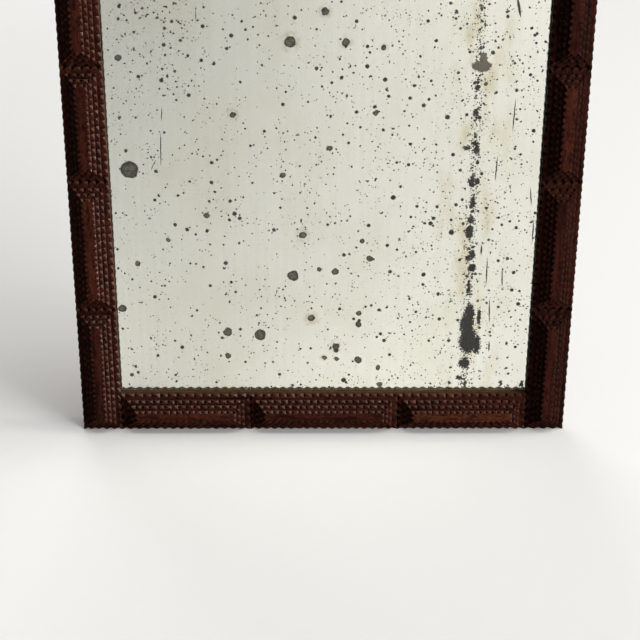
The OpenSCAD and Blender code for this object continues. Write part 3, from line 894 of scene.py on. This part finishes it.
right_side = ramp_of(tree, parts["X"], -0.05, 0.12)
damp_fields = ramp_of(tree, noise_of(tree, plane, 22.0, 2.0), 0.35, 0.7, 0.1, 0.5)
crowding = scale_add(tree, right_side, 0.2, damp_fields)
crowding = scale_add(tree, near_streak, 0.12, crowding)
cluster = ramp_of(tree, nearest_spot(tree, plane, [DENSE_PATCH]), 0.3, 1.3, 0.35, 0.0)
clumps = ramp_of(tree, noise_of(tree, plane, 75.0, 2.0), 0.38, 0.65, 0.28, 1.2)
crowding = times(tree, math_of(tree, "ADD", cluster, crowding), clumps)
sparse = times(tree, crowding, 0.5)
in_streak = ramp_of(tree, beside, 0.02, 0.16, 0.8, 0.0)
upper_half = ramp_of(tree, parts["Z"], SEEN_TOP, SEEN_TOP + FADE_IN)
upper_blots = grains_of(tree, rough_plane, 16.0, 0.42, 0.1)
grain_fields = [
    grains_of(tree, turned_once, 260.0, sparse, 0.26),
    grains_of(tree, turned_twice, 330.0, sparse, 0.25),
    grains_of(tree, turned_twice, 125.0, crowding, 0.25),
    grains_of(tree, turned_once, 45.0, 0.17, 0.12),
    times(tree, upper_blots, upper_half),
    grains_of(tree, torn_plane, 260.0, in_streak, 0.45),
    grains_of(tree, rough_plane, 480.0, in_streak, 0.45),
]
print("fields of grains:", len(grain_fields))

# %% [markdown]
# The listed blots, tears and scratches join the grains: silver is lost wherever any of them says so. The
# streak's edge is frayed, because noise is added to the distance before the mask is cut.

# %% Blots, tears and scratches
stained = nearest_spot(tree, blot_plane, STAINED)
blots = math_of(tree, "MINIMUM", stained, nearest_spot(tree, blot_plane, BLOTS))
blot_mask = ramp_of(tree, blots, 0.92, 1.04, 1.0, 0.0)
flake_mask = ramp_of(tree, nearest_spot(tree, torn_plane, FLAKES), 0.96, 1.04, 1.0, 0.0)
streak = nearest_spot(tree, torn_plane, STREAK)
frayed = scale_add(tree, noise_of(tree, plane, 700.0, 3.0), 1.6, streak)
streak_mask = ramp_of(tree, frayed, 1.74, 1.84, 1.0, 0.0)
scratch_masks = []
for x0, z0, x1, z1, half in SCRATCHES:
    begin, end = (x0 * MM, z0 * MM, 0.0), (x1 * MM, z1 * MM, 0.0)
    scratch = use_group(tree, scratch_group, Place=rough_plane, From=begin, To=end, Half=half * MM)
    scratch_masks.append(scratch["Mask"])
lost = largest_of(tree, *grain_fields, blot_mask, flake_mask, streak_mask, *scratch_masks)
print("nodes of the silver so far:", len(tree.nodes))

# %% [markdown]
# The mirror in the photograph darkens to the left and towards the top. Here that darkening is painted
# shade in the silver's colour, with faint long strokes of dull silver over it. Brown has seeped from the
# streak and lies as a halo about the stained blots. Where silver is lost the dark paint shows, and in
# blots and flakes some of it is grey.

# %% Silver and its stains
SILVER_WARM = rgb(252, 250, 243)
# Dull silver for the strokes, and for the painted shade to the left and towards the top.
SILVER_DULL_AND_SHADE = rgb(200, 200, 194)
STAIN = rgb(232, 222, 196)
HALO = rgb(206, 190, 154)
LOST_DARK = rgb(30, 28, 25)
LOST_GREY = rgb(90, 83, 70)
BRUSH_WAVES = (260.0, 5.0, 1.0)
SEEP_WAVES = (60.0, 22.0, 1.0)

strokes = ramp_of(tree, streaks_of(tree, plane, BRUSH_WAVES), 0.3, 0.7)
dulling_and_shade = scale_add(tree, strokes, 0.05, -0.03)
# The ramps across and up the plate are painted shade: the silver is darker to the left and towards the
# top.
dulling_and_shade = math_of(tree, "ADD", ramp_of(tree, parts["X"], -0.19, 0.12, 0.62, 0.0), dulling_and_shade)
dulling_and_shade = math_of(tree, "ADD", ramp_of(tree, parts["Z"], -0.47, -0.09, 0.0, 0.36), dulling_and_shade, clamp=True)
silver = blend_of(tree, dulling_and_shade, SILVER_WARM, SILVER_DULL_AND_SHADE)
seep = ramp_of(tree, streaks_of(tree, plane, SEEP_WAVES, 4.0), 0.42, 0.75)
seep = times(tree, seep, scale_add(tree, near_streak, 0.8, 0.04))
silver = blend_of(tree, seep, silver, STAIN, "MULTIPLY")
halo = ramp_of(tree, nearest_spot(tree, torn_plane, STAINED), 0.8, 2.6, 0.6, 0.0)
patchy = ramp_of(tree, noise_of(tree, plane, 190.0, 4.0), 0.35, 0.65, 0.15, 1.0)
silver = blend_of(tree, times(tree, halo, patchy), silver, HALO, "MULTIPLY")
scraped = ramp_of(tree, noise_of(tree, plane, 300.0, 3.0), 0.3, 0.6)
scraped = times(tree, ramp_of(tree, blots, 0.3, 0.95, 1.0, 0.0), scraped)
grey = largest_of(tree, scraped, times(tree, flake_mask, 0.85))
backing = blend_of(tree, grey, LOST_DARK, LOST_GREY)
print("nodes of the silver so far:", len(tree.nodes))

# %% [markdown]
# Along the bottom and top the silver ends just inside the lip of the strips, and a brown edge is painted
# there in its place: a painted reflection of the lip's raw wood. The opening is measured from the strips,
# so the edge follows them. Silver is metal, and where it is lost the metal is gone too and the paint is
# rougher.

# %% Painted reflection under the lip, and the finish
# Colours of the painted reflection of the lip's raw wood.
EDGE_REFLECTION_BROWN = rgb(88, 66, 36)
EDGE_REFLECTION_DARK = rgb(36, 26, 12)
EDGE_REFLECTION_WAVES = (90.0, 400.0, 1.0)

sight_low, sight_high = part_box("bottom_strip_1")[1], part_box("top_strip_1")[0]
middle_z = (sight_low.z + sight_high.z) / 2
past_end = math_of(tree, "ABSOLUTE", less(tree, parts["Z"], middle_z))
past_end = less(tree, past_end, (sight_high.z - sight_low.z) / 2)
# The band under the lip is a painted reflection, dark at its inner edge and brown towards the lip.
under_lip = ramp_of(tree, past_end, -1.2 * MM, -0.9 * MM)
reflection_streaks = ramp_of(tree, streaks_of(tree, plane, EDGE_REFLECTION_WAVES, 4.0), 0.25, 0.6, 0.4, 1.0)
paler = times(tree, ramp_of(tree, past_end, -1.0 * MM, 0.2 * MM), reflection_streaks)
backing = blend_of(tree, under_lip, backing, blend_of(tree, paler, EDGE_REFLECTION_DARK, EDGE_REFLECTION_BROWN))
lost = largest_of(tree, lost, under_lip)
fill(tree, shader, {
    "Base Color": blend_of(tree, lost, silver, backing),
    "Metallic": less(tree, 1.0, lost, clamp=True),
    "Roughness": scale_add(tree, lost, 0.5, 0.03),
    "Specular IOR Level": 0.0,
})
print("finish:", foxed_silver.name, "with", len(tree.nodes), "nodes")

# %% [markdown]
# The two sheets take the place of the plate's solid. The silver is smaller than the glass all round, so
# that the glass closes over it. The glass casts no shadow, because it would only darken the silver.

# %% Mirror pieces
plate_low, plate_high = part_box("mirror_plate")
glass = sheet_piece("mirror_glass", plate_low, plate_high, old_glass)
glass.visible_shadow = False
silver_back = plate_high.y - SILVER_COVER
silver_low = Vector((plate_low.x + SILVER_COVER, silver_back - SILVER_THICK, plate_low.z + SILVER_COVER))
silver_high = Vector((plate_high.x - SILVER_COVER, silver_back, plate_high.z - SILVER_COVER))
sheet_piece("mirror_silver", silver_low, silver_high, foxed_silver)
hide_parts("mirror_plate")
print("glass", round((plate_high.y - plate_low.y) / MM, 2), "mm thick")

# %% [markdown]
# The carcass is plain planed pine that nobody was meant to see, and the back is three rough boards. Their
# solids already have the right shape, with nail holes and laps, so they stay and only get a finish. Pine
# shows broad bands, and on the boards a few knots, saw marks and a century of brown dust.

# %% Pine finishes
PINE_PALE = rgb(176, 134, 88)
PINE_DARK = rgb(120, 80, 45)
BOARD_PALE = rgb(148, 112, 74)
BOARD_DARK = rgb(92, 64, 40)
KNOT = rgb(62, 38, 22)
SOOT = rgb(58, 46, 36)
KNOT_STRETCH = (0.55, 1.0, 0.0)


def pine(name, upright, pale, dark, saw_marks):
    """Bands along the length, a few knots, handling dirt in patches, and saw marks across the grain."""
    material, tree, shader = new_finish(name)
    place = put(tree, "TexCoord").outputs["Object"]
    xyz = put(tree, "SeparateXYZ", {0: place}).outputs
    order = ("Z", "X", "Y") if upright else ("X", "Z", "Y")
    along = put(tree, "CombineXYZ", {i: xyz[axis] for i, axis in enumerate(order)}).outputs[0]
    grain = use_group(tree, grain_group, Along=along, Bands=130.0, Pores=1300.0)
    colour = blend_of(tree, grain["Figure"], dark, pale)
    knot_plane = wandered(tree, stretch_of(tree, along, KNOT_STRETCH), 60.0, 10 * MM)
    knots = grains_of(tree, knot_plane, 11.0, 0.25, 0.12)
    knots = times(tree, knots, ramp_of(tree, grain["Figure"], 0.0, 1.0, 0.9, 0.4))
    colour = blend_of(tree, knots, colour, KNOT)
    stain = ramp_of(tree, noise_of(tree, place, 16.0, 5.0, 0.6), 0.4, 0.75)
    colour = blend_of(tree, times(tree, stain, 0.65), colour, SOOT)
    dust = use_group(tree, dust_group, Place=place, Amount=0.6)["Mask"]
    wave = {"Vector": along, "Scale": 55.0, "Distortion": 3.0, "Detail": 2.0}
    kerf = put(tree, "TexWave", wave, bands_direction="X").outputs["Fac"]
    height = scale_add(tree, kerf, saw_marks, grain["Height"])
    bump = put(tree, "Bump", {"Height": height, "Strength": 0.5, "Distance": 0.0005})
    fill(tree, shader, {
        "Base Color": blend_of(tree, dust, colour, DUST),
        "Roughness": scale_add(tree, stain, 0.15, 0.68),
        "Specular IOR Level": 0.25,
        "Normal": bump.outputs["Normal"],
    })
    return material


def finish_nodes(material, names):
    """Gives solids that stay their material."""
    for name in names:
        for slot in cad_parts[name].material_slots:
            slot.material = material


stile_pine = pine("stile_pine", True, PINE_PALE, PINE_DARK, 0.15)
rail_pine = pine("rail_pine", False, PINE_PALE, PINE_DARK, 0.15)
back_pine = pine("back_board_pine", False, BOARD_PALE, BOARD_DARK, 0.8)
finish_nodes(stile_pine, ["left_stile", "right_stile"])
finish_nodes(rail_pine, ["bottom_rail", "top_rail", "glue_blocks"])
finish_nodes(back_pine, [f"{place}_back_board" for place in ("lower", "middle", "upper")])
print("pine finishes:", stile_pine.name, rail_pine.name, back_pine.name)

# %% [markdown]
# The hangers are brass that has gone brown, with brighter patches, and the nails are iron with rust. Both
# are a metal that something covers in patches, so one group gives the patches.

# %% Tarnish group
tree, taken, given = new_group("tarnish_patches", ["Mask"], Place=None, Scale=250.0, Cover=0.5)
tarnish_group = tree
clouds = noise_of(tree, taken["Place"], taken["Scale"], 4.0, 0.65)
edge_low = less(tree, 0.72, times(tree, taken["Cover"], 0.5))
shade = less(tree, clouds, edge_low)
tree.links.new(ramp_of(tree, shade, -0.06, 0.14), given["Mask"])


def old_metal(name, bright, covered, cover, smooth, rough, metal_left):
    """Metal under patches of tarnish or rust, which are duller and rougher."""
    material, tree, shader = new_finish(name)
    place = put(tree, "TexCoord").outputs["Object"]
    patches = use_group(tree, tarnish_group, Place=place, Scale=420.0, Cover=cover)["Mask"]
    grit = noise_of(tree, place, 2600.0, 2.0)
    bump = put(tree, "Bump", {"Height": grit, "Strength": 0.25, "Distance": 0.0002})
    fill(tree, shader, {
        "Base Color": blend_of(tree, patches, bright, covered),
        "Roughness": ramp_of(tree, patches, 0.0, 1.0, smooth, rough),
        "Metallic": ramp_of(tree, patches, 0.0, 1.0, 1.0, metal_left),
        "Normal": bump.outputs["Normal"],
    })
    return material


old_brass = old_metal("old_brass", rgb(164, 130, 78), rgb(104, 78, 44), 0.55, 0.35, 0.55, 0.85)
rusty_iron = old_metal("rusty_iron", rgb(120, 116, 112), rgb(92, 52, 32), 0.65, 0.4, 0.8, 0.2)
HANGER_NODES = [f"{side}_hanger_{part}" for side in ("left", "right") for part in ("strap", "ring")]
finish_nodes(old_brass, HANGER_NODES + ["hanger_screws"])
finish_nodes(rusty_iron, ["corner_nails", "block_brads", "back_board_nails"])
print("metals:", old_brass.name, rusty_iron.name)
